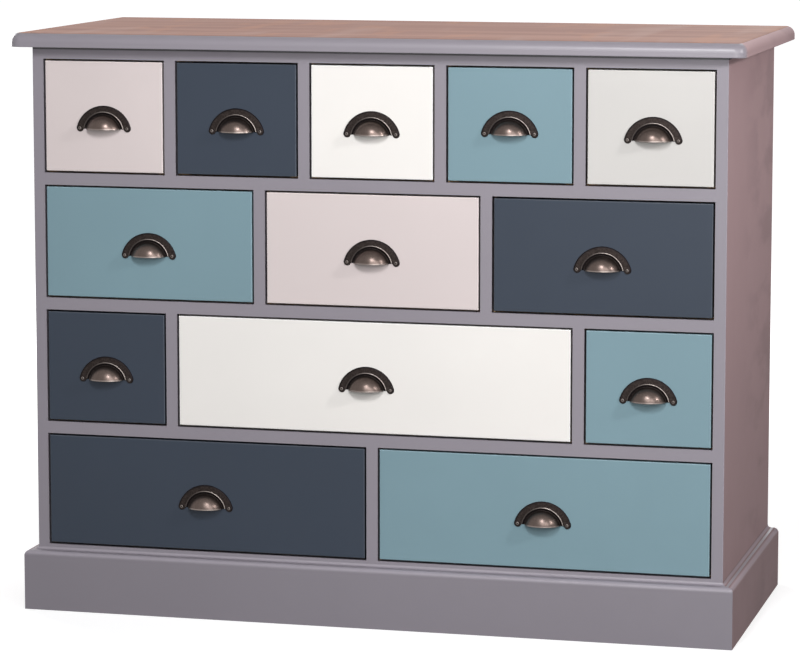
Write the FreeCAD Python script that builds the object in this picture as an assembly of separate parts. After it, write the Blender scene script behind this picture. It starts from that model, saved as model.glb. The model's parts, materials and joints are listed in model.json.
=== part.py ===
import FreeCAD, Part
import math
import os

# Chest of thirteen drawers on a moulded plinth. Millimetres, +Z up, +X to the right
# seen from the front, front towards -Y. The origin lies on the floor, under the
# middle of the box that holds the whole chest.

os.makedirs("parts", exist_ok=True)
V = FreeCAD.Vector

# Carcass boards
panel_t = 18.0               # sides and upright partitions
shelf_t = 19.0               # shelves, top panel and bottom panel
carcass_depth = 461.0        # sides, front edge to rear edge
small_bays = 5               # small drawers in the top row
small_bay_w = 198.0          # clear width of a small drawer bay
row_h = 178.5                # clear height of every drawer bay
base_h = 85.0                # floor to the underside of the bottom panel
side_edge_r = 1.5            # eased outer front edge of the sides

# Back panel, screwed into a rebate in the sides
back_t = 5.0
rebate_w = 9.0               # how far the rebate reaches into the side
rebate_depth = 8.0           # how deep it is, from the rear edge
back_fit = 0.5               # gap round the back panel

# Top board
top_t = 22.0
top_front_over = 27.0        # overhang in front of the carcass
top_side_over = 30.0
top_rear_over = 20.0
top_corner_r = 18.0          # front corners, seen from above
top_round_r = 14.0           # round-over along the front and side edges
top_ease_r = 1.5             # eased lower edge
least_land = 0.5             # least flat left between two rounded edges

# Plinth, planted on the outside of the carcass
plinth_t = 18.0
plinth_reveal = 9.0          # bottom panel's upper face above the flat on top of the board
plinth_round_r = 8.0         # round-over of its outer top edge
plinth_cove_r = 5.5          # cove against the carcass
block_w = 32.0               # glue blocks behind the plinth
block_gap = 6.0              # blocks stop this far above the floor

# Dowels
dowel_r = 4.0
dowel_len = 30.0
dowel_seat = 11.0            # length in the face of the board that it stands on
dowel_fit = 0.05             # radial clearance
dowel_glue_gap = 1.0         # spare depth at its inner end
dowel_inset = 60.0           # first and last dowel from the edges of the board

# Screws that hold the top board, from below
top_screw_r = 2.0
top_screw_bite = 13.0        # length in the top board
top_screw_head_r = 4.0
top_screw_head_h = 2.5
top_screw_sink = 0.5         # head below the surface of the top panel

# Screws that hold the back panel
back_screw_r = 1.6
back_screw_len = 16.0
back_screw_head_r = 3.2
back_screw_head_h = 1.8
screw_fit = 0.05             # radial clearance of every screw in its hole

# Drawers
front_t = 18.0
front_gap = 3.0              # shadow gap all round a drawer front
front_edge_r = 1.5
box_side_t = 12.0
box_back_t = 12.0
box_side_gap = 3.5           # each side, between drawer side and carcass
box_under_gap = 0.5          # drawer side above the shelf that it slides on
box_top_gap = 38.0           # drawer side below the shelf over it
box_back_drop = 8.0          # the drawer back is this much lower
box_rear_gap = 2.0           # drawer side to back panel, closed
bottom_t = 4.0
bottom_lift = 10.0           # lower edge of the side to the groove
groove_depth = 6.0
groove_fit = 0.2             # clearance above the bottom in its grooves
groove_end_gap = 0.5         # between the bottom's edge and the groove's floor

# Cup pull: a flat crescent with a round ear at each end, and a cup between the ears
pull_drop = 3.0              # its middle below the middle of the drawer front
pull_h = 41.0                # top of the crescent to the foot of its ears
pull_arc_r = 46.0            # outer arc of the crescent
pull_ear_r = 5.8
pull_flange_t = 2.0
pull_mouth_up = 4.5          # rim of the cup above the foot of the ears
pull_axis_drop = 6.2         # axis of the cup below its rim
pull_reach = 23.0            # cup in front of the drawer
pull_wall = 1.8
pull_bead_r = 1.0            # raised bead round the cup, up to the inner edge of the ears
pull_bead_gap = 3.2          # groove between cup and bead
pin_r = 1.3                  # screws through the ears
pin_bite = 12.0              # their length in the drawer front
pin_head_r = 2.7
pin_head_h = 1.4

# Pulls that sit off the middle of their drawer
pull_4_up = 5.0
pull_5_right = 4.0
pull_10_left = 9.0

# Worked out from the sizes above
inner_w = small_bays * small_bay_w + (small_bays - 1) * panel_t
carcass_w = inner_w + 2 * panel_t
third_bay_w = (inner_w - 2 * panel_t) / 3
wide_bay_w = inner_w - 2 * small_bay_w - 2 * panel_t
half_bay_w = (inner_w - panel_t) / 2
rows = [
    [small_bay_w] * small_bays,
    [third_bay_w] * 3,
    [small_bay_w, wide_bay_w, small_bay_w],
    [half_bay_w] * 2,
]
row_pitch = row_h + shelf_t
carcass_top = base_h + shelf_t + len(rows) * row_pitch
plinth_h = base_h + shelf_t - plinth_reveal

front_reach = max(top_front_over, pull_reach, plinth_t)
total_depth = front_reach + carcass_depth + top_rear_over
front_y = -total_depth / 2 + front_reach          # front face of the carcass
rear_y = front_y + carcass_depth                  # rear edges of the sides
shelf_rear_y = rear_y - rebate_depth              # rear edges of the shelves
dowel_ys = [
    front_y + dowel_inset,
    (front_y + shelf_rear_y) / 2,
    shelf_rear_y - dowel_inset,
]

# Places on the pull, from its middle
pull_top = pull_h / 2
pull_arc_z = pull_top - pull_arc_r
pull_ear_z = pull_ear_r - pull_h / 2
pull_ear_x = math.sqrt((pull_arc_r - pull_ear_r) ** 2 - (pull_ear_z - pull_arc_z) ** 2)
pull_mouth_z = pull_mouth_up - pull_h / 2
pull_axis_z = pull_mouth_z - pull_axis_drop
pull_bead_at = pull_ear_x - pull_ear_r
pull_cup_r = pull_bead_at - pull_bead_r - pull_bead_gap
pull_shifts = {4: (0, pull_4_up), 5: (pull_5_right, 0), 10: (-pull_10_left, 0)}


def row_floor(row):
    """Height of the surface that the drawers of a row slide on."""
    return base_h + shelf_t + (len(rows) - 1 - row) * row_pitch


def row_bays(row):
    """Left and right limit of each bay of a row."""
    bays = []
    x = -inner_w / 2
    for width in rows[row]:
        bays.append((x, x + width))
        x += width + panel_t
    return bays


def block(x0, x1, y0, y1, z0, z1):
    return Part.makeBox(x1 - x0, y1 - y0, z1 - z0, V(x0, y0, z0))


def prism(points, path):
    """Straight prism on a closed outline of points."""
    outline = Part.makePolygon(points + [points[0]])
    return Part.Face(outline).extrude(path)


def save(name, solids):
    shape = solids[0] if len(solids) == 1 else Part.makeCompound(solids)
    shape.exportStep("parts/" + name + ".step")


def meets(shape, cutter):
    return shape.BoundBox.intersect(cutter.BoundBox)


def drill(board, cutters):
    """The board with every hole that reaches it."""
    near = [cutter for cutter in cutters if meets(board, cutter)]
    if near:
        board = board.cut(near).Solids[0]
    return board


def dowel_at(point, inward, dowels, cutters):
    """Dowel that stands in a face at point and runs into the edge along inward."""
    start = point - inward * dowel_seat
    dowels.append(Part.makeCylinder(dowel_r, dowel_len, start, inward))
    depth = dowel_len + dowel_glue_gap
    cutters.append(Part.makeCylinder(dowel_r + dowel_fit, depth, start, inward))


def screw_at(point, inward, radius, length, head_r, head_h, sink, screws, cutters):
    """Screw with a round head. Its head bears sink below point, along inward."""
    seat = point + inward * (sink + head_h if sink else 0)
    shank = Part.makeCylinder(radius, length, seat, inward)
    head = Part.makeCylinder(head_r, head_h, seat - inward * head_h, inward)
    screws.append(head.fuse(shank).removeSplitter().Solids[0])
    cutters.append(Part.makeCylinder(radius + screw_fit, length + screw_fit, seat, inward))
    if sink:
        cutters.append(Part.makeCylinder(head_r + screw_fit, sink + head_h, point, inward))


def side_panel(sign):
    """Side from the floor to the top board, with the rebate for the back panel."""
    inner = sign * inner_w / 2
    outer = sign * carcass_w / 2
    low, high = min(inner, outer), max(inner, outer)
    panel = block(low, high, front_y, rear_y, 0, carcass_top)
    front_edges = [
        edge for edge in panel.Edges
        if abs(edge.CenterOfMass.x - outer) < 0.01
        and abs(edge.CenterOfMass.y - front_y) < 0.01
    ]
    panel = panel.makeFillet(side_edge_r, front_edges)
    cut_to = inner + sign * rebate_w
    low, high = min(inner, cut_to), max(inner, cut_to)
    rebate = block(low, high, shelf_rear_y, rear_y, base_h, carcass_top)
    return panel.cut(rebate)


def make_top_board():
    """Board with rounded front corners, a big round-over and an eased lower edge."""
    half_w = carcass_w / 2 + top_side_over
    y0 = front_y - top_front_over
    y1 = rear_y + top_rear_over
    r = top_corner_r
    mid = r * (1 - math.sqrt(0.5))
    z = carcass_top
    edges = [
        Part.LineSegment(V(-half_w + r, y0, z), V(half_w - r, y0, z)),
        Part.Arc(V(half_w - r, y0, z), V(half_w - mid, y0 + mid, z), V(half_w, y0 + r, z)),
        Part.LineSegment(V(half_w, y0 + r, z), V(half_w, y1, z)),
        Part.LineSegment(V(half_w, y1, z), V(-half_w, y1, z)),
        Part.LineSegment(V(-half_w, y1, z), V(-half_w, y0 + r, z)),
        Part.Arc(V(-half_w, y0 + r, z), V(-half_w + mid, y0 + mid, z), V(-half_w + r, y0, z)),
    ]
    outline = Part.Wire([edge.toShape() for edge in edges])
    board = Part.Face(outline).extrude(V(0, 0, top_t))

    def rim(height):
        found = []
        for edge in board.Edges:
            box = edge.BoundBox
            level = box.ZLength < 0.01 and abs(box.ZMin - height) < 0.01
            if level and box.YMin < y1 - 0.01:
                found.append(edge)
        return found

    round_r = min(top_round_r, top_corner_r - least_land, top_t - top_ease_r - least_land)
    board = board.makeFillet(round_r, rim(z + top_t))
    return board.makeFillet(top_ease_r, rim(z))


def plinth_profile(place):
    """Closed plinth section. place turns (distance out from the carcass, height)
    into a point."""
    out = plinth_t
    top = plinth_h
    r = plinth_round_r
    c = plinth_cove_r
    half = math.sqrt(0.5)
    edges = [
        Part.LineSegment(place(0, 0), place(out, 0)),
        Part.LineSegment(place(out, 0), place(out, top - r)),
        Part.Arc(
            place(out, top - r),
            place(out - r + r * half, top - r + r * half),
            place(out - r, top),
        ),
        Part.LineSegment(place(out - r, top), place(c, top)),
        Part.Arc(place(c, top), place(c - c * half, top + c - c * half), place(0, top + c)),
        Part.LineSegment(place(0, top + c), place(0, 0)),
    ]
    return Part.Face(Part.Wire([edge.toShape() for edge in edges]))


def mitre_waste(sign, keep_front):
    """Prism beyond the mitre line at a front corner of the plinth."""
    x_in = sign * carcass_w / 2
    x_out = sign * (carcass_w / 2 + plinth_t)
    y_out = front_y - plinth_t
    if keep_front:
        corner = V(x_out, front_y, 0)
    else:
        corner = V(x_in, y_out, 0)
    points = [V(x_in, front_y, 0), V(x_out, y_out, 0), corner]
    return prism(points, V(0, 0, plinth_h + plinth_cove_r))


def make_plinth_front():
    half_w = carcass_w / 2 + plinth_t
    section = plinth_profile(lambda out, z: V(-half_w, front_y - out, z))
    board = section.extrude(V(2 * half_w, 0, 0))
    return board.cut([mitre_waste(-1, True), mitre_waste(1, True)]).Solids[0]


def make_plinth_side(sign):
    y0 = front_y - plinth_t
    section = plinth_profile(lambda out, z: V(sign * (carcass_w / 2 + out), y0, z))
    board = section.extrude(V(0, carcass_depth + plinth_t, 0))
    return board.cut(mitre_waste(sign, False)).Solids[0]


def pull_flange(x, y, z):
    """Flat crescent of the pull, down to the level of its mouth, with round ears."""
    share = pull_arc_r / (pull_arc_r - pull_ear_r)
    end_x = pull_ear_x * share
    end_z = z + pull_arc_z + (pull_ear_z - pull_arc_z) * share
    mouth = z + pull_mouth_z
    left, right = V(x - end_x, y, end_z), V(x + end_x, y, end_z)
    low_left, low_right = V(x - pull_ear_x, y, mouth), V(x + pull_ear_x, y, mouth)
    outline = Part.Wire([
        Part.Arc(left, V(x, y, z + pull_top), right).toShape(),
        Part.LineSegment(right, low_right).toShape(),
        Part.LineSegment(low_right, low_left).toShape(),
        Part.LineSegment(low_left, left).toShape(),
    ])
    plate = Part.Face(outline).extrude(V(0, -pull_flange_t, 0))
    ears = []
    for sign in (-1, 1):
        centre = V(x + sign * pull_ear_x, y, z + pull_ear_z)
        ears.append(Part.makeCylinder(pull_ear_r, pull_flange_t, centre, V(0, -1, 0)))
    return plate.fuse(ears)


def spheroid(x, y, z, radius, reach):
    """Half spheroid that stands out of a drawer front, round an axis along Y."""
    centre = V(x, y, z)
    rim = V(x + radius, y, z)
    tip = V(x, y - reach, z)
    far, near = (rim, tip) if radius >= reach else (tip, rim)
    quarter = Part.Arc(Part.Ellipse(far, near, centre), 0, math.pi / 2)
    outline = Part.Wire([
        quarter.toShape(),
        Part.LineSegment(near, centre).toShape(),
        Part.LineSegment(centre, far).toShape(),
    ])
    return Part.Face(outline).revolve(centre, V(0, 1, 0), 360)


def make_pull(x, y, z):
    """Cup pull with its two screws, on a drawer front at depth y."""
    axis = V(x, y, z + pull_axis_z)
    bead_out = pull_bead_at + pull_bead_r
    above_mouth = block(
        x - bead_out, x + bead_out, y - pull_reach, y, z + pull_mouth_z, z + pull_top
    )
    bead_centre = axis - V(0, pull_flange_t, 0)
    bead = Part.makeTorus(pull_bead_at, pull_bead_r, bead_centre, V(0, 1, 0))
    cup = spheroid(x, y, axis.z, pull_cup_r, pull_reach)
    hollow = spheroid(x, y, axis.z, pull_cup_r - pull_wall, pull_reach - pull_wall)
    shell = pull_flange(x, y, z).fuse([bead.common(above_mouth), cup.common(above_mouth)])
    screws = []
    cutters = [hollow]
    for sign in (-1, 1):
        ear = V(x + sign * pull_ear_x, y - pull_flange_t, z + pull_ear_z)
        screw_at(
            ear, V(0, 1, 0), pin_r, pull_flange_t + pin_bite,
            pin_head_r, pin_head_h, 0, screws, cutters,
        )
    shell = shell.cut(cutters).removeSplitter().Solids[0]
    return [shell] + screws


def pull_centre(number, x0, x1, z0):
    right, up = pull_shifts.get(number, (0, 0))
    return V((x0 + x1) / 2 + right, front_y, z0 + row_h / 2 - pull_drop + up)


def make_drawer(number, x0, x1, z0):
    """Front, box and pull of one drawer in the bay from x0 to x1 above z0."""
    name = "drawer_%02d_" % number
    z1 = z0 + row_h
    box_front_y = front_y + front_t
    box_rear_y = shelf_rear_y - box_rear_gap
    left = x0 + box_side_gap
    right = x1 - box_side_gap
    low = z0 + box_under_gap
    inner_left = left + box_side_t
    inner_right = right - box_side_t
    high = z1 - box_top_gap
    groove_low = low + bottom_lift
    groove_high = groove_low + bottom_t + groove_fit
    groove = block(
        inner_left - groove_depth, inner_right + groove_depth,
        box_front_y - groove_depth, box_rear_y,
        groove_low, groove_high,
    )

    front = block(
        x0 + front_gap, x1 - front_gap, front_y, box_front_y, z0 + front_gap, z1 - front_gap
    )
    face_edges = [edge for edge in front.Edges if edge.BoundBox.YMax < front_y + 0.01]
    front = front.makeFillet(front_edge_r, face_edges).cut(groove)
    centre = pull_centre(number, x0, x1, z0)
    pull = make_pull(centre.x, centre.y, centre.z)
    pin_holes = []
    for sign in (-1, 1):
        ear = V(centre.x + sign * pull_ear_x, front_y, centre.z + pull_ear_z)
        pin_holes.append(
            Part.makeCylinder(pin_r + screw_fit, pin_bite + screw_fit, ear, V(0, 1, 0))
        )
    front = front.cut(pin_holes).Solids[0]

    sides = [
        block(left, inner_left, box_front_y, box_rear_y, low, high),
        block(inner_right, right, box_front_y, box_rear_y, low, high),
    ]
    sides = [side.cut(groove).Solids[0] for side in sides]
    back = block(
        inner_left, inner_right, box_rear_y - box_back_t, box_rear_y,
        groove_high, high - box_back_drop,
    )
    slack = groove_depth - groove_end_gap
    bottom = block(
        inner_left - slack, inner_right + slack,
        box_front_y - slack, box_rear_y,
        groove_low, groove_low + bottom_t,
    )

    save(name + "front", [front])
    save(name + "box", sides + [back, bottom])
    save(name + "pull", pull)


# Joints between the boards
left_x = -inner_w / 2
right_x = inner_w / 2
shelf_floors = [row_floor(row) for row in range(len(rows))]
board_mids = [carcass_top - shelf_t / 2] + [floor - shelf_t / 2 for floor in shelf_floors]
dowels = []
dowel_holes = []
for mid_z in board_mids:
    for y in dowel_ys:
        dowel_at(V(left_x, y, mid_z), V(1, 0, 0), dowels, dowel_holes)
        dowel_at(V(right_x, y, mid_z), V(-1, 0, 0), dowels, dowel_holes)

partitions = []
for row in range(len(rows)):
    z0 = row_floor(row)
    z1 = z0 + row_h
    uprights = []
    for x0, x1 in row_bays(row)[:-1]:
        uprights.append(block(x1, x1 + panel_t, front_y, shelf_rear_y, z0, z1))
        for y in (dowel_ys[0], dowel_ys[-1]):
            mid_x = x1 + panel_t / 2
            dowel_at(V(mid_x, y, z0), V(0, 0, 1), dowels, dowel_holes)
            dowel_at(V(mid_x, y, z1), V(0, 0, -1), dowels, dowel_holes)
    partitions.append(uprights)

# Screws up into the top board, one pair in each outer bay of the top row
top_screws = []
top_screw_holes = []
top_screw_len = shelf_t - top_screw_sink - top_screw_head_h + top_screw_bite
for x0, x1 in row_bays(0)[:2] + row_bays(0)[-2:]:
    for y in (dowel_ys[0], dowel_ys[-1]):
        screw_at(
            V((x0 + x1) / 2, y, carcass_top - shelf_t), V(0, 0, 1),
            top_screw_r, top_screw_len, top_screw_head_r, top_screw_head_h,
            top_screw_sink, top_screws, top_screw_holes,
        )

# Screws through the back panel into the sides and into the rear edges of the shelves
back_face_y = shelf_rear_y + back_t
back_screw_points = []
for mid_z in board_mids:
    for share in (-1, 0, 1):
        back_screw_points.append(V(share * inner_w / 3, back_face_y, mid_z))
for floor in shelf_floors:
    for sign in (-1, 1):
        x = sign * (inner_w + rebate_w) / 2
        back_screw_points.append(V(x, back_face_y, floor + row_h / 2))
back_screws = []
back_screw_holes = []
for point in back_screw_points:
    screw_at(
        point, V(0, -1, 0), back_screw_r, back_screw_len,
        back_screw_head_r, back_screw_head_h, 0, back_screws, back_screw_holes,
    )
holes = dowel_holes + top_screw_holes + back_screw_holes

# Carcass
save("side_left", [drill(side_panel(-1), holes)])
save("side_right", [drill(side_panel(1), holes)])
save("top_board", [drill(make_top_board(), holes)])


def level_board(z1):
    """Board that lies between the sides, with its upper face at z1."""
    board = block(left_x, right_x, front_y, shelf_rear_y, z1 - shelf_t, z1)
    return [drill(board, holes)]


save("top_panel", level_board(carcass_top))
for name, floor in zip(("shelf_upper", "shelf_middle", "shelf_lower", "bottom_panel"), shelf_floors):
    save(name, level_board(floor))
for row, uprights in enumerate(partitions):
    save("partitions_row_%d" % (row + 1), [drill(upright, dowel_holes) for upright in uprights])

back_half_w = inner_w / 2 + rebate_w - back_fit
back_panel = block(
    -back_half_w, back_half_w, shelf_rear_y, back_face_y, base_h, carcass_top - back_fit
)
save("back_panel", [drill(back_panel, back_screw_holes)])
save("dowels", dowels)
save("top_screws", top_screws)
save("back_screws", back_screws)

# Plinth
save("plinth_front", [make_plinth_front()])
save("plinth_left", [make_plinth_side(-1)])
save("plinth_right", [make_plinth_side(1)])
save("plinth_back", [block(left_x, right_x, rear_y - plinth_t, rear_y, 0, base_h)])
block_front_ys = (front_y, front_y + block_w)
block_rear_ys = (rear_y - plinth_t - block_w, rear_y - plinth_t)
glue_blocks = []
for y0, y1 in (block_front_ys, block_rear_ys):
    for x in (left_x, -block_w / 2, right_x - block_w):
        glue_blocks.append(block(x, x + block_w, y0, y1, block_gap, base_h))
save("glue_blocks", glue_blocks)

# Drawers, numbered from the top left
number = 0
for row in range(len(rows)):
    for x0, x1 in row_bays(row):
        number += 1
        make_drawer(number, x0, x1, row_floor(row))
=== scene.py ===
"""Looks of the chest of drawers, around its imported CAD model.

Lengths are in metres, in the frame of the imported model: +Z up, the drawers open towards -Y.
The boards, fronts and drawer boxes keep their CAD meshes and get a finish each. The cup
pulls are modelled here in more detail, as one mesh that the thirteen pieces share.
"""

import json
import math

import bmesh
import bpy
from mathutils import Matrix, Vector


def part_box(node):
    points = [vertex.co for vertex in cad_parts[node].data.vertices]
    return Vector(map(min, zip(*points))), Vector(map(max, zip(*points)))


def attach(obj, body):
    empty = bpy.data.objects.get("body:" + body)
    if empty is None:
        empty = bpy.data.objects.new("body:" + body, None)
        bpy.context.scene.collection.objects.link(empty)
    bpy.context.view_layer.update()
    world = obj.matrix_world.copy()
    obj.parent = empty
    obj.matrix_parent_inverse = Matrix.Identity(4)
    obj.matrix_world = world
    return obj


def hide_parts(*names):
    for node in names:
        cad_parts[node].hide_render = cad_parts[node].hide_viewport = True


MM = 0.001

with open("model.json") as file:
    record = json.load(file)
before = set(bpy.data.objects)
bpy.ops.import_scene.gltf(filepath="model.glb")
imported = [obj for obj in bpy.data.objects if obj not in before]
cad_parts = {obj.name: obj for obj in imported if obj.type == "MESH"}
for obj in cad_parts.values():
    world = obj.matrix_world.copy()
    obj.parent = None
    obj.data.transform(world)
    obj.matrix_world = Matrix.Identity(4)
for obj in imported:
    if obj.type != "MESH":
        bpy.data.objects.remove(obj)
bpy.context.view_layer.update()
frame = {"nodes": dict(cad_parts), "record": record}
nodes = frame["nodes"]

# Places read from the frame

front_low, front_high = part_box("drawer_01_front")
face_y = front_low.y                      # plane of the drawer fronts and the rails
front_back_y = front_high.y               # inner face of a drawer front
box_back_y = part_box("drawer_01_box")[1].y
top_low, top_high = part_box("top_board")
side_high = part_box("side_right")[1]
rear_y = side_high.y
inner_x = side_high.x - 4 * MM            # only outward faces lie further out than this
opening_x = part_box("bottom_panel")[1].x + 2 * MM      # a little into the side boards
raw_from = face_y + 14 * MM               # the paint inside the openings ends here

# Colours, as linear light


def srgb(red, green, blue):
    """Linear colour of an 8-bit screen colour."""
    def linear(value):
        share = value / 255
        return share / 12.92 if share <= 0.04045 else ((share + 0.055) / 1.055) ** 2.4
    return (linear(red), linear(green), linear(blue), 1.0)


def scaled(colour, share):
    return tuple(min(1.0, part * share) for part in colour[:3]) + (1.0,)


def grey(share):
    return (share, share, share, 1.0)


FRAME_PAINT = srgb(135, 129, 137)
# colour of the end faces: their paint with a warm tint that is painted warm light
SIDE_PAINT_IN_WARM_LIGHT = srgb(157, 130, 132)
FRONT_PAINTS = {
    "front_pink_beige": srgb(216, 204, 202),
    "front_navy": srgb(52, 60, 72),
    "front_white": srgb(240, 236, 231),
    "front_teal": srgb(123, 150, 159),
    "front_greige": srgb(205, 202, 198),
}
PINE = srgb(214, 184, 142)
PINE_DARK = srgb(178, 138, 92)
STAIN = srgb(169, 124, 107)
STAIN_DARK = srgb(147, 101, 87)
STAIN_WARM = srgb(184, 128, 98)
STAIN_PALE = srgb(180, 145, 133)
BOARD = srgb(176, 152, 124)
BOARD_DARK = srgb(164, 140, 112)
BEECH = srgb(216, 184, 146)
BEECH_DARK = srgb(186, 146, 108)
STEEL = srgb(176, 178, 180)
BRONZE = srgb(96, 84, 79)
BRONZE_DARK = srgb(48, 42, 40)
BRONZE_BLACK = srgb(30, 26, 27)
# bronze of the worn parts, also the colour of the bead's painted highlight
BRONZE_WORN_AND_HIGHLIT = srgb(172, 162, 156)

# Shader building


class Nodes:
    """A node tree, built with one short call for each node."""

    def __init__(self, tree):
        self.tree = tree
        self.tree.nodes.clear()

    def add(self, kind, inputs=(), **settings):
        made = self.tree.nodes.new(kind)
        for key, value in settings.items():
            setattr(made, key, value)
        for key, value in dict(inputs).items():
            self.plug(made.inputs[key], value)
        return made

    def plug(self, socket, value):
        if isinstance(value, bpy.types.NodeSocket):
            self.tree.links.new(value, socket)
        else:
            socket.default_value = value

    def math(self, operation, *values):
        return self.add("ShaderNodeMath", enumerate(values), operation=operation).outputs[0]

    def absolute(self, value):
        return self.math("ABSOLUTE", value)

    def both(self, first, second):
        return self.math("MULTIPLY", first, second)

    def either(self, first, second):
        return self.math("MAXIMUM", first, second)

    def parts(self, vector):
        """The X, Y and Z sockets of a vector."""
        return self.add("ShaderNodeSeparateXYZ", {0: vector}).outputs

    def ramp(self, value, low, high, to_low=0.0, to_high=1.0):
        """Smooth step from to_low at low to to_high at high."""
        made = self.add(
            "ShaderNodeMapRange",
            {"Value": value, "From Min": low, "From Max": high,
             "To Min": to_low, "To Max": to_high},
            interpolation_type="SMOOTHSTEP",
        )
        return made.outputs["Result"]

    def backdrop_rays(self):
        """1 for the rays that see the plain white surround: camera, mirror and glass."""
        rays = self.add("ShaderNodeLightPath").outputs
        seen = self.either(rays["Is Camera Ray"], rays["Is Glossy Ray"])
        return self.either(seen, rays["Is Transmission Ray"])


class Finish(Nodes):
    """A procedural material."""

    def __init__(self, name):
        self.material = bpy.data.materials.new(name)
        self.material.use_nodes = True
        super().__init__(self.material.node_tree)
        self.place = self.add("ShaderNodeTexCoord").outputs["Object"]
        self.normal = self.add("ShaderNodeNewGeometry").outputs["Normal"]

    def mix(self, share, first, second):
        made = self.add("ShaderNodeMix", data_type="RGBA", blend_type="MIX")
        for index, value in ((0, share), (6, first), (7, second)):
            self.plug(made.inputs[index], value)
        return made.outputs[2]

    def stretched(self, x, y, z):
        """The place, with each axis multiplied: features per metre along X, Y and Z."""
        return self.add(
            "ShaderNodeMapping", {"Vector": self.place, "Scale": (x, y, z)}
        ).outputs[0]

    def noise(self, vector, scale=1.0, detail=2.0, roughness=0.5, distortion=0.0):
        return self.add(
            "ShaderNodeTexNoise",
            {"Vector": vector, "Scale": scale, "Detail": detail,
             "Roughness": roughness, "Distortion": distortion},
        ).outputs["Fac"]

    def bump(self, height, distance, strength=1.0, under=None):
        made = self.add(
            "ShaderNodeBump", {"Height": height, "Distance": distance, "Strength": strength}
        )
        if under is not None:
            self.plug(made.inputs["Normal"], under)
        return made.outputs[0]

    def edges(self):
        """1 on the rounded edges of a straight board, 0 on its flat faces."""
        x, y, z = (self.absolute(part) for part in self.parts(self.normal))
        return self.ramp(self.either(self.either(x, y), z), 0.999, 0.86)

    def gap_shade_faces(self, most):
        """Painted shade, up to most, on faces that look into the gaps round the drawer
        fronts.
        """
        facing = self.absolute(self.parts(self.normal)[1])
        y = self.parts(self.place)[1]
        deep = self.ramp(y, face_y + 0.8 * MM, face_y + 2.2 * MM, 0, most)
        return self.both(self.math("LESS_THAN", facing, 0.5), deep)

    def surface(self, shader):
        self.add("ShaderNodeOutputMaterial", {"Surface": shader.outputs[0]})
        return self.material

    def close(self, colour, roughness, bump, **constants):
        """Adds the shader; constants go straight to its own sockets."""
        inputs = {"Base Color": colour, "Roughness": roughness, "Normal": bump}
        inputs.update({key.replace("_", " "): value for key, value in constants.items()})
        return self.surface(self.add("ShaderNodeBsdfPrincipled", inputs))


def wood_colour(f, pale, dark, along, across=26.0):
    """Colour and height of plain wood with its grain along one axis, "x", "y" or "z";
    across is how many bands a metre holds across the grain."""
    coarse = f.stretched(*(1.3 if axis == along else across for axis in "xyz"))
    bands = f.noise(coarse, 1.0, 4.0, 0.55, 0.6)
    fine = f.stretched(*(7.0 if axis == along else 420.0 for axis in "xyz"))
    fibres = f.noise(fine, 1.0, 3.0, 0.6)
    colour = f.mix(f.ramp(bands, 0.34, 0.68), pale, dark)
    colour = f.mix(f.ramp(fibres, 0.56, 0.74, 0.0, 0.35), colour, scaled(dark, 0.72))
    return colour, fibres


# Paint

PEEL_DEPTH = 0.04 * MM                    # relief of the sprayed paint
GAP_SHADE_TONE = 0.12                           # painted shade: tone of the paint deep in the gaps
JOINT_AND_SHADE_TONE = 0.06                         # and in the dark joint under the top board, deepened as painted shade of its overhang
JOINT_AND_SHADE_FROM = top_low.z - 5.0 * MM
JOINT_AND_SHADE_FULL = top_low.z - 3.0 * MM
# painted highlight on the rounded edges of the carcass boards
EDGE_HIGHLIGHT = scaled(FRAME_PAINT, 1.5)
PLINTH_PAINT = scaled(FRAME_PAINT, 0.87)
# for the plinth's ends: a darker copy, with the same painted warm light
PLINTH_SIDE_PAINT_IN_WARM_LIGHT = scaled(SIDE_PAINT_IN_WARM_LIGHT, 0.76)
END_DULL = 0.5                            # added roughness of the paint on the end faces
BANDS_FROM_Y = -0.16                     # darker and lighter bands run on the end faces from here to the rear
END_FADE = (0.1, 0.85)                    # heights between which painted light makes the end faces paler
END_TONES = (0.9, 1.42)                   # painted shade and light on the end faces at those heights
BAND_TONES = (0.72, 1.12)                # and of their darker bands
FRAME_SHINE = 0.6                         # specular levels
FRONT_SHINE = 0.25
TOP_SHINE = 0.7


def painted(f, colour, smooth=0.36, dull=0.44):
    """Colour, roughness and bump of satin paint sprayed on a board."""
    tone = f.noise(f.place, 2.4, 3.0)
    cloud = f.noise(f.place, 21.0, 2.0)
    shade = f.mix(f.ramp(tone, 0.3, 0.7), scaled(colour, 0.965), scaled(colour, 1.03))
    shade = f.mix(f.ramp(cloud, 0.35, 0.65, 0.0, 0.25), shade, scaled(colour, 0.97))
    peel = f.noise(f.place, 620.0, 2.0, 0.6)
    roughness = f.ramp(cloud, 0.3, 0.7, smooth, dull)
    return shade, roughness, f.bump(peel, PEEL_DEPTH, 0.5)


def end_paint_and_light(f, colour, roughness, tint=SIDE_PAINT_IN_WARM_LIGHT):
    """Duller paint, bands, painted warm light and shade on outer faces that look left and
    right.
    """
    sideways, forward = (f.absolute(part) for part in f.parts(f.normal)[:2])
    most = f.math("ADD", f.math("ADD", sideways, forward), 0.001)
    turned = f.math("DIVIDE", f.math("SUBTRACT", sideways, forward), most)
    x, y, z = f.parts(f.place)
    share = f.both(f.ramp(turned, 0.1, 0.9), f.math("GREATER_THAN", f.absolute(x), inner_x))
    bands = f.noise(f.stretched(3.0, 7.0, 17.0), 1.0, 3.0, 0.5)
    rear_bands = f.both(f.ramp(bands, 0.42, 0.66), f.ramp(y, BANDS_FROM_Y, rear_y))
    # painted shade and light: the end faces darker towards the bottom, paler towards the top
    height = f.ramp(z, *END_FADE)
    plain = f.mix(height, *(scaled(tint, tone) for tone in END_TONES))
    banded = f.mix(height, *(scaled(tint, tone) for tone in BAND_TONES))
    roughness = f.math("MULTIPLY_ADD", share, END_DULL, roughness)
    return f.mix(share, colour, f.mix(rear_bands, plain, banded)), roughness


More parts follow.
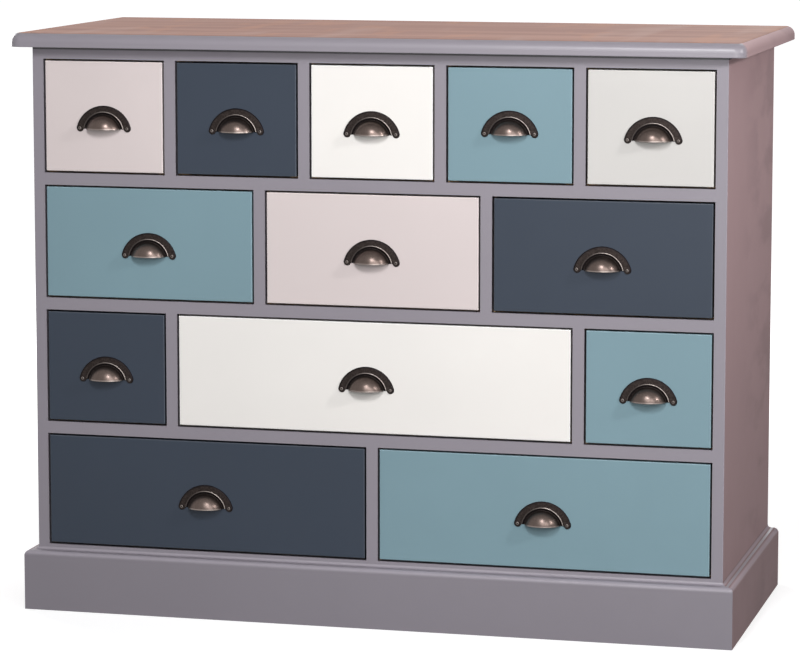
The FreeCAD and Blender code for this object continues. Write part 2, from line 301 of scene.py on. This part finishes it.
def frame_paint(name, bare_from=None, bare_within=None, along="x", tint=FRAME_PAINT,
                ends=SIDE_PAINT_IN_WARM_LIGHT):
    """Paint of the carcass. Deeper in than bare_from along Y, its faces are bare pine, on
    a side board only within bare_within of the middle."""
    f = Finish(name)
    colour, roughness, relief = painted(f, tint, 0.44, 0.5)
    # painted warm light and painted shade on the outer end faces
    colour, roughness = end_paint_and_light(f, colour, roughness, ends)
    # painted highlight along the rounded edges
    colour = f.mix(f.both(f.edges(), 0.45), colour, EDGE_HIGHLIGHT)
    x, y, z = f.parts(f.place)
    # dark joint line with painted contact shadow just below the top board
    joint_and_shade = f.ramp(z, JOINT_AND_SHADE_FROM, JOINT_AND_SHADE_FULL)
    colour = f.mix(joint_and_shade, colour, scaled(FRAME_PAINT, JOINT_AND_SHADE_TONE))
    if bare_from is not None:
        ragged = f.math("MULTIPLY_ADD", f.noise(f.place, 160.0, 2.0), 3.0 * MM, y)
        bare = f.ramp(ragged, bare_from, bare_from + 1.2 * MM)
        # painted shade on the faces that look into the gaps
        gap_shade = f.gap_shade_faces(0.6)
        if bare_within is not None:
            inside = f.math("LESS_THAN", f.absolute(x), bare_within)
            bare = f.both(bare, inside)
            gap_shade = f.both(gap_shade, inside)
        colour = f.mix(gap_shade, colour, scaled(FRAME_PAINT, GAP_SHADE_TONE))
        wood, _ = wood_colour(f, PINE, PINE_DARK, along)
        colour = f.mix(bare, colour, wood)
        roughness = f.math("MULTIPLY_ADD", bare, 0.22, roughness)
    return f.close(colour, roughness, relief, Specular_IOR_Level=FRAME_SHINE)


def front_paint(slot, colour):
    """Paint of a drawer front, with painted highlights on its edges and a bare inner face."""
    f = Finish(slot)
    shade, roughness, relief = painted(f, colour)
    # painted highlight along the rounded edges of the front
    pale = tuple(min(0.93, part * 1.15 + 0.05) for part in colour[:3]) + (1.0,)
    shade = f.mix(f.both(f.edges(), 0.85), shade, pale)
    # painted shade on the edge faces in the gaps
    shade = f.mix(f.gap_shade_faces(0.55), shade, scaled(colour, GAP_SHADE_TONE))
    y = f.parts(f.place)[1]
    bare = f.ramp(y, front_back_y - 1.0 * MM, front_back_y - 0.4 * MM)
    wood, _ = wood_colour(f, PINE, PINE_DARK, "x")
    shade = f.mix(bare, shade, wood)
    return f.close(shade, roughness, relief, Specular_IOR_Level=FRONT_SHINE)


# Wood and steel

BOX_BACK_T = 12.2 * MM                    # back of a drawer box, with a little to spare
STAIN_FROM = top_high.z - 0.75 * MM       # the paint of the top board's edge ends here
STAIN_FULL = top_high.z - 0.45 * MM


def plain_wood(name, pale, dark, along, roughness=0.6, across=26.0):
    f = Finish(name)
    colour, fibres = wood_colour(f, pale, dark, along, across)
    return f.close(colour, roughness, f.bump(fibres, 0.12 * MM, 0.5))


def drawer_wood():
    """Drawer boxes: grain along the sides, and across on the back."""
    f = Finish("drawer_wood")
    lengthwise, fibres = wood_colour(f, PINE, PINE_DARK, "y")
    crosswise, _ = wood_colour(f, scaled(PINE, 1.04), scaled(PINE_DARK, 1.1), "x", 60.0)
    back = f.math("GREATER_THAN", f.parts(f.place)[1], box_back_y - BOX_BACK_T)
    colour = f.mix(back, lengthwise, crosswise)
    return f.close(colour, 0.5, f.bump(fibres, 0.1 * MM, 0.4))


def top_finish():
    """Stained, lacquered wood on the flat top, frame paint on the round-over and below."""
    f = Finish("stained_wood")
    bands = f.noise(f.stretched(1.1, 22.0, 22.0), 1.0, 4.0, 0.55, 0.5)
    streaks = f.noise(f.stretched(5.0, 240.0, 240.0), 1.0, 3.0, 0.6)
    pores = f.noise(f.stretched(30.0, 900.0, 900.0), 1.0, 2.0, 0.5)
    patches = f.noise(f.stretched(9.0, 2.0, 2.0), 1.0, 2.0, 0.5, 0.3)
    warmth = f.noise(f.stretched(17.0, 5.0, 5.0), 1.0, 2.0, 0.5, 0.3)
    wood = f.mix(f.ramp(bands, 0.3, 0.7), STAIN, STAIN_DARK)
    wood = f.mix(f.ramp(patches, 0.52, 0.68, 0.0, 0.5), wood, STAIN_PALE)
    wood = f.mix(f.ramp(warmth, 0.52, 0.66, 0.0, 0.4), wood, STAIN_WARM)
    wood = f.mix(f.ramp(streaks, 0.5, 0.75, 0.0, 0.5), wood, scaled(STAIN_DARK, 0.8))
    wood = f.mix(f.ramp(pores, 0.62, 0.72, 0.0, 0.4), wood, scaled(STAIN_DARK, 0.5))
    paint, roughness, relief = painted(f, FRAME_PAINT, 0.35, 0.39)
    # the board's end faces get the same painted warm light and shade
    paint, roughness = end_paint_and_light(f, paint, roughness)
    waves = f.noise(f.stretched(14.0, 60.0, 60.0))
    ragged = f.math("MULTIPLY_ADD", waves, 0.25 * MM, f.parts(f.place)[2])
    bare = f.ramp(ragged, STAIN_FROM, STAIN_FULL)
    colour = f.mix(bare, paint, wood)
    seam = f.both(f.both(bare, f.math("SUBTRACT", 1.0, bare)), 3.0)
    colour = f.mix(seam, colour, scaled(FRAME_PAINT, 0.5))
    height = f.both(f.math("ADD", pores, streaks), bare)
    roughness = f.either(roughness, f.both(bare, 0.82))
    grain = f.bump(height, 0.06 * MM, 0.5, relief)
    return f.close(colour, roughness, grain, Specular_IOR_Level=TOP_SHINE)


def steel_finish():
    f = Finish("steel")
    mottle = f.noise(f.place, 900.0, 3.0)
    colour = f.mix(mottle, STEEL, scaled(STEEL, 0.75))
    roughness = f.ramp(mottle, 0.3, 0.7, 0.28, 0.42)
    return f.close(colour, roughness, f.bump(mottle, 0.02 * MM, 0.4), Metallic=1.0)


# Finishes of the CAD nodes

finishes = {
    "frame_x": frame_paint("frame_paint_x", raw_from),
    "frame_z": frame_paint("frame_paint_z", raw_from, along="z"),
    "frame_side": frame_paint("frame_paint_side", raw_from, opening_x, along="z"),
    "frame_plinth": frame_paint(
        "frame_paint_plinth", tint=PLINTH_PAINT, ends=PLINTH_SIDE_PAINT_IN_WARM_LIGHT
    ),
    "stained_wood": top_finish(),
    "back_board": plain_wood("back_board", BOARD, BOARD_DARK, "z", 0.65, 12.0),
    "raw_wood": plain_wood("raw_wood", PINE, PINE_DARK, "x"),
    "dowel_beech": plain_wood("dowel_beech", BEECH, BEECH_DARK, "x"),
    "drawer_wood": drawer_wood(),
    "steel": steel_finish(),
}
for slot, colour in FRONT_PAINTS.items():
    finishes[slot] = front_paint(slot, colour)


def finish_key(name, slot):
    """Which finish a node gets: the frame paint has one for each way the boards run."""
    if slot != "frame_paint":
        return slot
    if name.startswith("side_"):
        return "frame_side"
    if name.startswith("plinth_"):
        return "frame_plinth"
    return "frame_z" if name.startswith("partitions_") else "frame_x"


pulls = []
for part in frame["record"]["subparts"]:
    name, slot = part["node"], part["material_slot"]
    if slot == "pull_bronze":
        pulls.append(name)
    else:
        nodes[name].data.materials[0] = finishes[finish_key(name, slot)]

# Cup pulls: sizes from the middle of the pull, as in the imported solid, with X to the right,
# Z up, and depth in front of the drawer

pull_low, pull_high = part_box(pulls[0])
PULL_H = pull_high.z - pull_low.z
PULL_REACH = face_y - pull_low.y
ARC_R = 46 * MM                           # outer arc of the flange
EAR_R = 5.8 * MM
FLANGE_T = 2.0 * MM
FLANGE_EDGE = 0.35 * FLANGE_T             # upright part of its edge
FLANGE_CROWN = 2.5 * MM                   # its front swells to this thickness
FLANGE_SHOULDER = 2.4 * MM                # from its edge to the crown
SHOULDER_STEPS = 6                        # edges along the shoulder, and along the arcs
EAR_STEPS = 22
ARC_STEPS = 72
MOUTH_STEPS = 40
BEAD_STEPS = 56
MOUTH_Z = 4.5 * MM - PULL_H / 2
AXIS_Z = MOUTH_Z - 6.2 * MM               # axis of the cup, below its mouth
BEAD_TUBE = 1.0 * MM
BEAD_GAP = 3.2 * MM
WALL = 1.8 * MM
ROLL_TUBE = 0.7 * MM                      # small roll at the foot of the cup
LIP_TUBE = 1.05 * MM                      # rolled edge of the mouth
LIP_TOP = MOUTH_Z + 2.2 * MM
HEAD_R = 2.7 * MM
SHARP_ANGLE = math.radians(50)            # shading breaks at edges sharper than this

ARC_Z = PULL_H / 2 - ARC_R
EAR_Z = EAR_R - PULL_H / 2
EAR_X = math.sqrt((ARC_R - EAR_R) ** 2 - (EAR_Z - ARC_Z) ** 2)
BEAD_AT = EAR_X - EAR_R
CUP_R = BEAD_AT - BEAD_TUBE - BEAD_GAP
PIP_Z = (PULL_H / 2 + AXIS_Z + BEAD_AT) / 2

# Radius and depth of the turned pieces, from the flange outwards
HEAD_PROFILE = [
    (HEAD_R, -0.1 * MM), (HEAD_R, 0.35 * MM), (0.93 * HEAD_R, 0.72 * MM),
    (0.75 * HEAD_R, 1.0 * MM), (0.45 * HEAD_R, 1.2 * MM), (0.3 * HEAD_R, 1.2 * MM),
    (0.2 * HEAD_R, 0.4 * MM), (0.0, 0.3 * MM),
]
PIP_PROFILE = [
    (1.2 * MM, -0.1 * MM), (1.1 * MM, 0.25 * MM), (0.6 * MM, 0.5 * MM), (0.0, 0.58 * MM),
]


def arc(centre_x, centre_z, radius, start, end, count):
    """Points on an arc in the plane of the drawer front; angles from +X towards +Z."""
    points = []
    for step in range(count + 1):
        angle = start + (end - start) * step / count
        points.append(
            (centre_x + radius * math.cos(angle), centre_z + radius * math.sin(angle))
        )
    return points


def join_rings(mesh, rings):
    """Faces between closed rings of vertices that follow each other."""
    for low, high in zip(rings, rings[1:]):
        for index in range(len(low)):
            after = (index + 1) % len(low)
            mesh.faces.new((low[index], low[after], high[after], high[index]))


def flange_outline():
    """Closed outline of the crescent, anticlockwise seen from the front."""
    tangent = math.atan2(EAR_Z - ARC_Z, EAR_X)
    inner_end = math.asin((MOUTH_Z - EAR_Z) / EAR_R)
    inner_r = CUP_R - WALL / 2
    lift = math.asin((MOUTH_Z - AXIS_Z) / inner_r)
    left = math.pi - tangent
    outline = arc(EAR_X, EAR_Z, EAR_R, -math.pi - inner_end, tangent, EAR_STEPS)
    outline += arc(0, ARC_Z, ARC_R, tangent, left, ARC_STEPS)[1:]
    outline += arc(-EAR_X, EAR_Z, EAR_R, left, math.tau + inner_end, EAR_STEPS)[1:]
    outline += arc(0, AXIS_Z, inner_r, math.pi - lift, lift, MOUTH_STEPS)
    return outline


def add_flange(mesh):
    outline = flange_outline()
    inward = []
    for before, after in zip(outline[-1:] + outline[:-1], outline[1:] + outline[:1]):
        along = (Vector(after) - Vector(before)).normalized()
        inward.append((-along.y, along.x))
    profile = [(0.0, 0.0), (0.0, FLANGE_EDGE)]
    for step in range(1, SHOULDER_STEPS + 1):
        angle = math.pi / 2 * step / SHOULDER_STEPS
        profile.append((
            FLANGE_SHOULDER * (1 - math.cos(angle)),
            FLANGE_EDGE + (FLANGE_CROWN - FLANGE_EDGE) * math.sin(angle),
        ))
    loops = []
    for inset, depth in profile:
        loops.append([
            mesh.verts.new((x + nx * inset, -depth, z + nz * inset))
            for (x, z), (nx, nz) in zip(outline, inward)
        ])
    join_rings(mesh, loops)
    mesh.faces.new(loops[-1])
    mesh.faces.new(reversed(loops[0]))


def add_tube(mesh, path, radius, sides=10):
    """A round bar along points, with flat ends."""
    rings = []
    for index, point in enumerate(path):
        before, after = path[max(index - 1, 0)], path[min(index + 1, len(path) - 1)]
        along = (after - before).normalized()
        across = along.cross(Vector((0, 0, 1)))
        if across.length < 0.1:
            across = along.cross(Vector((0, 1, 0)))
        across.normalize()
        upward = across.cross(along)
        rings.append([
            mesh.verts.new(
                point
                + across * radius * math.cos(math.tau * side / sides)
                + upward * radius * math.sin(math.tau * side / sides)
            )
            for side in range(sides)
        ])
    join_rings(mesh, rings)
    mesh.faces.new(reversed(rings[0]))
    mesh.faces.new(rings[-1])


def add_ring(mesh, radius, tube, depth):
    """Half ring round the cup, from one end of the mouth over the top to the other."""
    lift = math.asin((MOUTH_Z + tube - AXIS_Z) / radius)
    points = arc(0, AXIS_Z, radius, lift, math.pi - lift, BEAD_STEPS)
    add_tube(mesh, [Vector((x, -depth, z)) for x, z in points], tube)


def cup_grid(radius, reach, rows=18, columns=44):
    """Points of the cup's surface, in level rows from the mouth, where it stands upright,
    to the top. On the drawer its outline is an arc round the axis."""
    rise = AXIS_Z + radius - MOUTH_Z
    grid = []
    for row in range(rows):
        level = math.pi / 2 * row / rows
        height = MOUTH_Z + rise * math.sin(level)
        wide = math.sqrt(radius ** 2 - (height - AXIS_Z) ** 2)
        deep = reach * math.cos(level)
        grid.append([
            Vector((
                wide * math.cos(math.pi * column / columns),
                -deep * math.sin(math.pi * column / columns),
                height,
            ))
            for column in range(columns + 1)
        ])
    return grid, Vector((0, 0, AXIS_Z + radius))


def add_cup(mesh):
    surfaces = []
    for radius, reach in ((CUP_R, PULL_REACH), (CUP_R - WALL, PULL_REACH - WALL)):
        grid, crown = cup_grid(radius, reach)
        rows = [[mesh.verts.new(point) for point in row] for row in grid]
        surfaces.append((rows, mesh.verts.new(crown)))
    for (rows, crown), outside in zip(surfaces, (True, False)):
        for low, high in zip(rows, rows[1:]):
            for a, b, c, d in zip(low, low[1:], high[1:], high):
                mesh.faces.new((a, b, c, d) if not outside else (d, c, b, a))
        for a, b in zip(rows[-1], rows[-1][1:]):
            mesh.faces.new((a, b, crown) if not outside else (crown, b, a))
    outer, inner = surfaces[0][0][0], surfaces[1][0][0]
    for a, b, c, d in zip(outer, outer[1:], inner[1:], inner):
        mesh.faces.new((a, b, c, d))
    middle = [(a.co + b.co) / 2 for a, b in zip(outer, inner)]
    shown = [point + Vector((0, LIP_TUBE * 0.3, LIP_TUBE * 0.55)) for point in middle]
    add_tube(mesh, [point for point in shown if -point.y > FLANGE_T / 2], LIP_TUBE)


def add_turned(mesh, x, z, depth, profile, sides=24):
    """A shape turned round an axis towards the viewer; profile is (radius, depth) pairs."""
    angles = [math.tau * side / sides for side in range(sides)]
    rings = [
        [
            mesh.verts.new((
                x + radius * math.cos(angle), -depth - out, z + radius * math.sin(angle)
            ))
            for angle in angles
        ]
        for radius, out in profile[:-1]
    ]
    join_rings(mesh, rings)
    tip = mesh.verts.new((x, -depth - profile[-1][1], z))
    for side in range(sides):
        mesh.faces.new((rings[-1][side], rings[-1][(side + 1) % sides], tip))


def pull_mesh():
    mesh = bmesh.new()
    add_flange(mesh)
    add_ring(mesh, BEAD_AT, BEAD_TUBE, FLANGE_CROWN - 0.2 * BEAD_TUBE)
    add_ring(mesh, CUP_R + 0.3 * ROLL_TUBE, ROLL_TUBE, FLANGE_CROWN)
    add_cup(mesh)
    for sign in (-1, 1):
        add_turned(mesh, sign * EAR_X, EAR_Z, FLANGE_CROWN, HEAD_PROFILE)
    add_turned(mesh, 0, PIP_Z, FLANGE_CROWN, PIP_PROFILE)
    bmesh.ops.recalc_face_normals(mesh, faces=mesh.faces)
    data = bpy.data.meshes.new("cup_pull")
    mesh.to_mesh(data)
    mesh.free()
    data.shade_smooth()
    data.set_sharp_from_angle(angle=SHARP_ANGLE)
    return data


CUP_POLISH = (0.295, 0.34)                # roughness of the cup, with its mottling
FLANGE_DULL = 0.18                        # added roughness of the flange


def bronze_finish():
    """Antique bronze: black in hollows, worn on bead and lip, a painted highlight on the
    bead.
    """
    f = Finish("pull_bronze")
    x, y, z = f.parts(f.place)
    out = f.both(y, -1.0)

    def distance(across, up):
        return f.math("SQRT", f.math("ADD", f.math("POWER", across, 2.0),
                                     f.math("POWER", up, 2.0)))

    from_axis = distance(x, f.math("SUBTRACT", z, AXIS_Z))
    from_rim = f.math("SUBTRACT", ARC_R, distance(x, f.math("SUBTRACT", z, ARC_Z)))
    from_ear = distance(
        f.math("SUBTRACT", f.absolute(x), EAR_X), f.math("SUBTRACT", z, EAR_Z)
    )
    mottle = f.noise(f.place, 330.0, 4.0, 0.6)
    grain = f.noise(f.place, 1500.0, 2.0)
    low = f.math("LESS_THAN", out, FLANGE_CROWN * 1.1)
    raised = f.math("GREATER_THAN", out, FLANGE_CROWN * 1.05)
    standing = f.math("GREATER_THAN", out, FLANGE_CROWN * 2)

    colour = f.mix(
        f.ramp(mottle, 0.35, 0.7), scaled(BRONZE_DARK, 0.6), scaled(BRONZE_DARK, 1.3)
    )
    # painted dark reflection: the outer edge of the flange near black
    rim_dark_reflection = f.both(low, f.ramp(from_rim, 3.6 * MM, 1.0 * MM))
    colour = f.mix(f.both(rim_dark_reflection, 0.9), colour, BRONZE_BLACK)
    off_groove = f.absolute(f.math("SUBTRACT", from_axis, CUP_R + BEAD_GAP / 2))
    groove = f.both(low, f.ramp(off_groove, 1.8 * MM, 1.0 * MM))
    colour = f.mix(groove, colour, scaled(BRONZE_BLACK, 0.5))
    cup = f.ramp(out, FLANGE_CROWN, PULL_REACH * 0.6)
    cup_colour = f.mix(f.ramp(mottle, 0.3, 0.7), BRONZE, scaled(BRONZE, 0.8))
    colour = f.mix(cup, colour, cup_colour)

    off_bead = f.absolute(f.math("SUBTRACT", from_axis, BEAD_AT))
    bead = f.both(raised, f.ramp(off_bead, 0.9 * MM, 0.4 * MM))
    # painted highlight: the bead lighter towards its right side, where the light falls
    bead = f.both(bead, f.ramp(x, -22 * MM, 14 * MM, 0.12, 0.75))
    lip = f.both(standing, f.ramp(z, LIP_TOP, LIP_TOP - 1.0 * MM))
    off_head = f.absolute(f.math("SUBTRACT", from_ear, 0.62 * HEAD_R))
    head = f.both(raised, f.ramp(off_head, 0.35 * HEAD_R, 0.15 * HEAD_R))
    # wear on the lip and the screw heads; on the bead, wear with a painted highlight
    wear_and_highlight = f.either(bead, f.either(f.both(lip, 0.4), f.both(head, 0.3)))
    patchy = f.ramp(mottle, 0.3, 0.6, 0.55, 1.0)
    colour = f.mix(f.both(wear_and_highlight, patchy), colour, BRONZE_WORN_AND_HIGHLIT)

    dull = f.math("SUBTRACT", 1.0, f.either(cup, wear_and_highlight))
    polish = f.ramp(mottle, 0.3, 0.7, *CUP_POLISH)
    roughness = f.math("MULTIPLY_ADD", dull, FLANGE_DULL, polish)
    height = f.math("MULTIPLY_ADD", grain, 0.3, mottle)
    return f.close(colour, roughness, f.bump(height, 0.12 * MM, 0.12), Metallic=1.0)


cup_pull = pull_mesh()
cup_pull.materials.append(bronze_finish())
for name in pulls:
    low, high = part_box(name)
    pull = bpy.data.objects.new(name + "_detailed", cup_pull)
    bpy.context.scene.collection.objects.link(pull)
    pull.location = ((low.x + high.x) / 2, face_y, (low.z + high.z) / 2)
    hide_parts(name)
    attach(pull, name.removesuffix("_pull"))

# Floor and surround

FLOOR_HALF = 40.0
FLOOR_DROP = 0.2 * MM                     # keeps the floor clear of the plinth's lower edge
FLOOR_BOUNCE = 0.16                       # how much of the light the floor sends back up
FLOOR_SEEN = 0.50                         # its own colour, which carries the shadow
NEAR, FAR = 0.8, 2.2                      # where its glow starts and ends to grow
GLOW_NEAR, GLOW_FAR = 0.66, 1.0
AMBIENT = 0.15
WHITE = grey(1.0)


def floor_finish():
    f = Finish("floor")
    bounce = f.add("ShaderNodeBsdfDiffuse", {"Color": grey(FLOOR_BOUNCE)})
    shadowed = f.add("ShaderNodeBsdfDiffuse", {"Color": grey(FLOOR_SEEN)})
    x, y, _ = f.parts(f.place)
    reach = f.either(f.absolute(x), f.absolute(y))
    strength = f.ramp(reach, NEAR, FAR, GLOW_NEAR, GLOW_FAR)
    glow = f.add("ShaderNodeEmission", {"Color": WHITE, "Strength": strength})
    seen = f.add("ShaderNodeAddShader", {0: shadowed.outputs[0], 1: glow.outputs[0]})
    return f.surface(f.add("ShaderNodeMixShader", {
        0: f.backdrop_rays(), 1: bounce.outputs[0], 2: seen.outputs[0],
    }))


floor_data = bpy.data.meshes.new("floor")
corners = [(-1, -1), (1, -1), (1, 1), (-1, 1)]
floor_data.from_pydata(
    [(x * FLOOR_HALF, y * FLOOR_HALF, 0) for x, y in corners], [], [range(len(corners))]
)
floor_data.materials.append(floor_finish())
floor = bpy.data.objects.new("floor", floor_data)
floor.location.z = -FLOOR_DROP
bpy.context.scene.collection.objects.link(floor)

world = bpy.data.worlds.new("studio")
bpy.context.scene.world = world
world.use_nodes = True
sky = Nodes(world.node_tree)
strength = sky.ramp(sky.backdrop_rays(), 0.0, 1.0, AMBIENT, 1.0)
background = sky.add("ShaderNodeBackground", {"Color": WHITE, "Strength": strength})
sky.add("ShaderNodeOutputWorld", {"Surface": background.outputs[0]})

# Lamps: name, place, width and height, power in watts, and colour

LAMPS = (
    ("key", (0.3, -2.55, 2.15), (0.35, 0.6), 37.5, (0.97, 0.98, 1.0)),
    ("fill", (0.9, -2.5, 1.15), (2.4, 1.5), 34.5, (0.99, 0.99, 1.0)),
    ("right", (2.7, -1.3, 1.75), (0.2, 0.45), 26.0, (1.0, 0.98, 0.98)),
    ("left", (-2.9, 2.4, 1.2), (1.6, 1.6), 85.0, (1.0, 1.0, 1.0)),
    ("rear", (0.6, 3.6, 2.4), (1.8, 1.8), 51.0, (1.0, 1.0, 1.0)),
)
LAMPS_AIM = Vector((0.0, 0.0, 0.5))


def area_lamp(name, place, size, power, colour):
    data = bpy.data.lights.new(name, "AREA")
    data.shape = "ELLIPSE"
    data.size, data.size_y = size
    data.energy = power
    data.color = colour
    lamp = bpy.data.objects.new(name, data)
    lamp.location = place
    lamp.rotation_mode = "QUATERNION"
    lamp.rotation_quaternion = (LAMPS_AIM - Vector(place)).to_track_quat("-Z", "Y")
    bpy.context.scene.collection.objects.link(lamp)


for lamp_settings in LAMPS:
    area_lamp(*lamp_settings)

# Camera

CAMERA_PLACE = (1.348, -5.264, 1.209)
CAMERA_TURN = 14.506                      # to the left of +Y, in degrees
CAMERA_TIP = 7.250                        # below level, in degrees
CAMERA_LENS = 154.03                      # in millimetres, as the sensor is
CAMERA_SENSOR = 36.0
CAMERA_SHIFT = -0.07
CAMERA_SIGHT = 100.0

camera_data = bpy.data.cameras.new("camera")
camera_data.lens = CAMERA_LENS
camera_data.sensor_width = CAMERA_SENSOR
camera_data.shift_y = CAMERA_SHIFT
camera_data.clip_end = CAMERA_SIGHT
camera = bpy.data.objects.new("camera", camera_data)
camera.location = CAMERA_PLACE
camera.rotation_euler = (math.radians(90 - CAMERA_TIP), 0.0, math.radians(CAMERA_TURN))
bpy.context.scene.collection.objects.link(camera)
bpy.context.scene.camera = camera
bpy.context.scene.view_settings.view_transform = "Standard"
